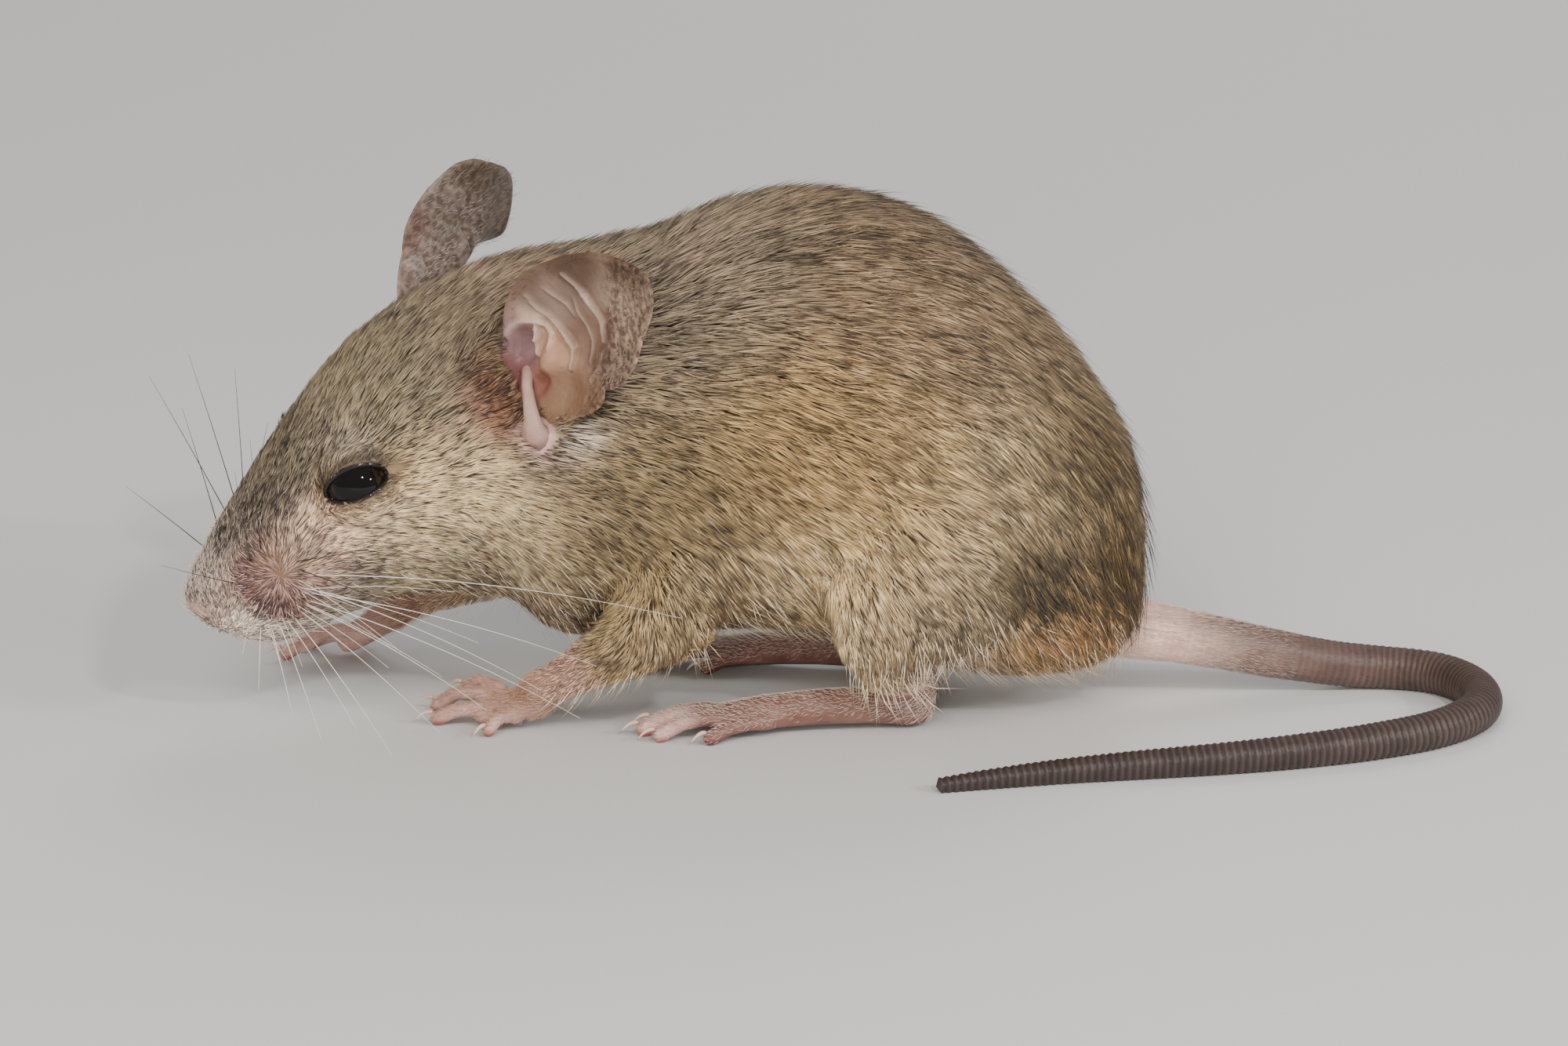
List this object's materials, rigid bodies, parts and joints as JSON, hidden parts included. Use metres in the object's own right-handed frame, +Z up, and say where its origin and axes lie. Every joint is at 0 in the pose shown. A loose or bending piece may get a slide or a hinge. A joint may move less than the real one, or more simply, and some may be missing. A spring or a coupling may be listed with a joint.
{
  "type": "house mouse",
  "caption": "Life-size house mouse crouching on all four feet, its head low and turned a little to its left, its tail lying in a curve beside it.",
  "frame": {"origin": "on the floor under the middle of the mouse's length and width, tail included", "axes": "-X towards the nose and +X towards the rump, +Y to the animal's right side, +Z up"},
  "size_m": [0.079, 0.0325, 0.0329],
  "materials": {
    "coat": "short dense agouti fur",
    "skin": "bare pink skin, soft sheen",
    "ear": "thin skin with very short hair",
    "nose": "bare moist skin",
    "tail": "ringed scaly skin with sparse hair",
    "claw": "pale translucent horn",
    "eye": "wet black"
  },
  "bodies": {
    "root": {"nose": "nose", "head": "coat", "jaw": "coat", "neck": "coat", "trunk": "coat", "eye_left": "eye", "eye_right": "eye", "ear_left": "ear", "ear_right": "ear", "foreleg_left": "coat", "foot_fore_left": "skin", "claw_fore_left_inner": "claw", "claw_fore_left_second": "claw", "claw_fore_left_third": "claw", "claw_fore_left_outer": "claw", "foreleg_right": "coat", "foot_fore_right": "skin", "claw_fore_right_inner": "claw", "claw_fore_right_second": "claw", "claw_fore_right_third": "claw", "claw_fore_right_outer": "claw", "hind_leg_left": "coat", "foot_hind_left": "skin", "claw_hind_left_first": "claw", "claw_hind_left_second": "claw", "claw_hind_left_third": "claw", "claw_hind_left_fourth": "claw", "claw_hind_left_fifth": "claw", "hind_leg_right": "coat", "foot_hind_right": "skin", "claw_hind_right_first": "claw", "claw_hind_right_second": "claw", "claw_hind_right_third": "claw", "claw_hind_right_fourth": "claw", "claw_hind_right_fifth": "claw", "tail_root": "tail", "tail_middle": "tail", "tail_bend": "tail", "tail_turn": "tail", "tail_return": "tail", "tail_tip": "tail"}
  },
  "joints": []
}
